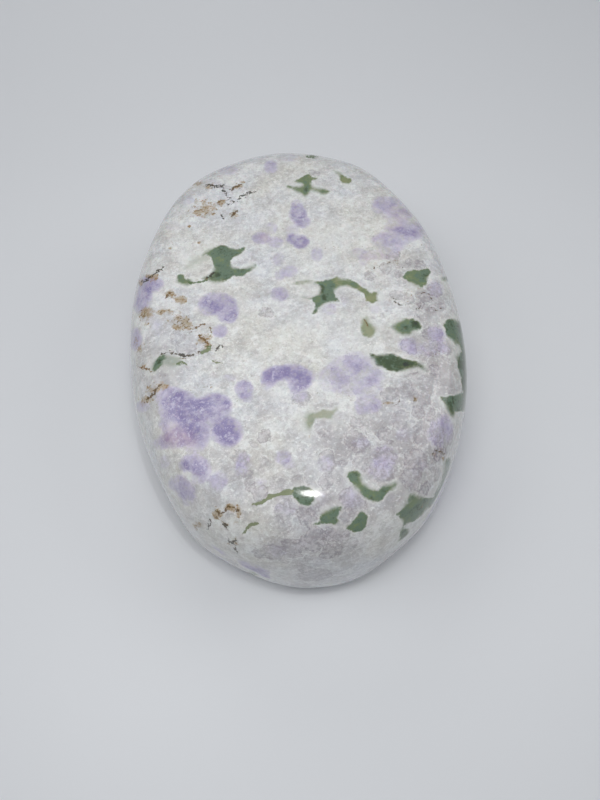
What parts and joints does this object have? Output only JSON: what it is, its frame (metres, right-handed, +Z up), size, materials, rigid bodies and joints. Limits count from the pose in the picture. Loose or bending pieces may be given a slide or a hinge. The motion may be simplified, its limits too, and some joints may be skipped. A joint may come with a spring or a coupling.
{
  "type": "palm stone",
  "caption": "Oval cushion-shaped palm stone of mottled white, lilac and green rock, polished all over, with a small flat spot to rest on.",
  "frame": {"origin": "under the middle of the stone, on the surface it rests on", "axes": "+Z up through the polished face, +Y along the long axis towards the slightly wider end, +X across"},
  "size_m": [0.0494, 0.07, 0.022],
  "materials": {
    "polished_rock": "polished rock, mottled white with lilac clouds and green patches"
  },
  "bodies": {
    "root": {"palm_stone": "polished_rock"}
  },
  "joints": []
}
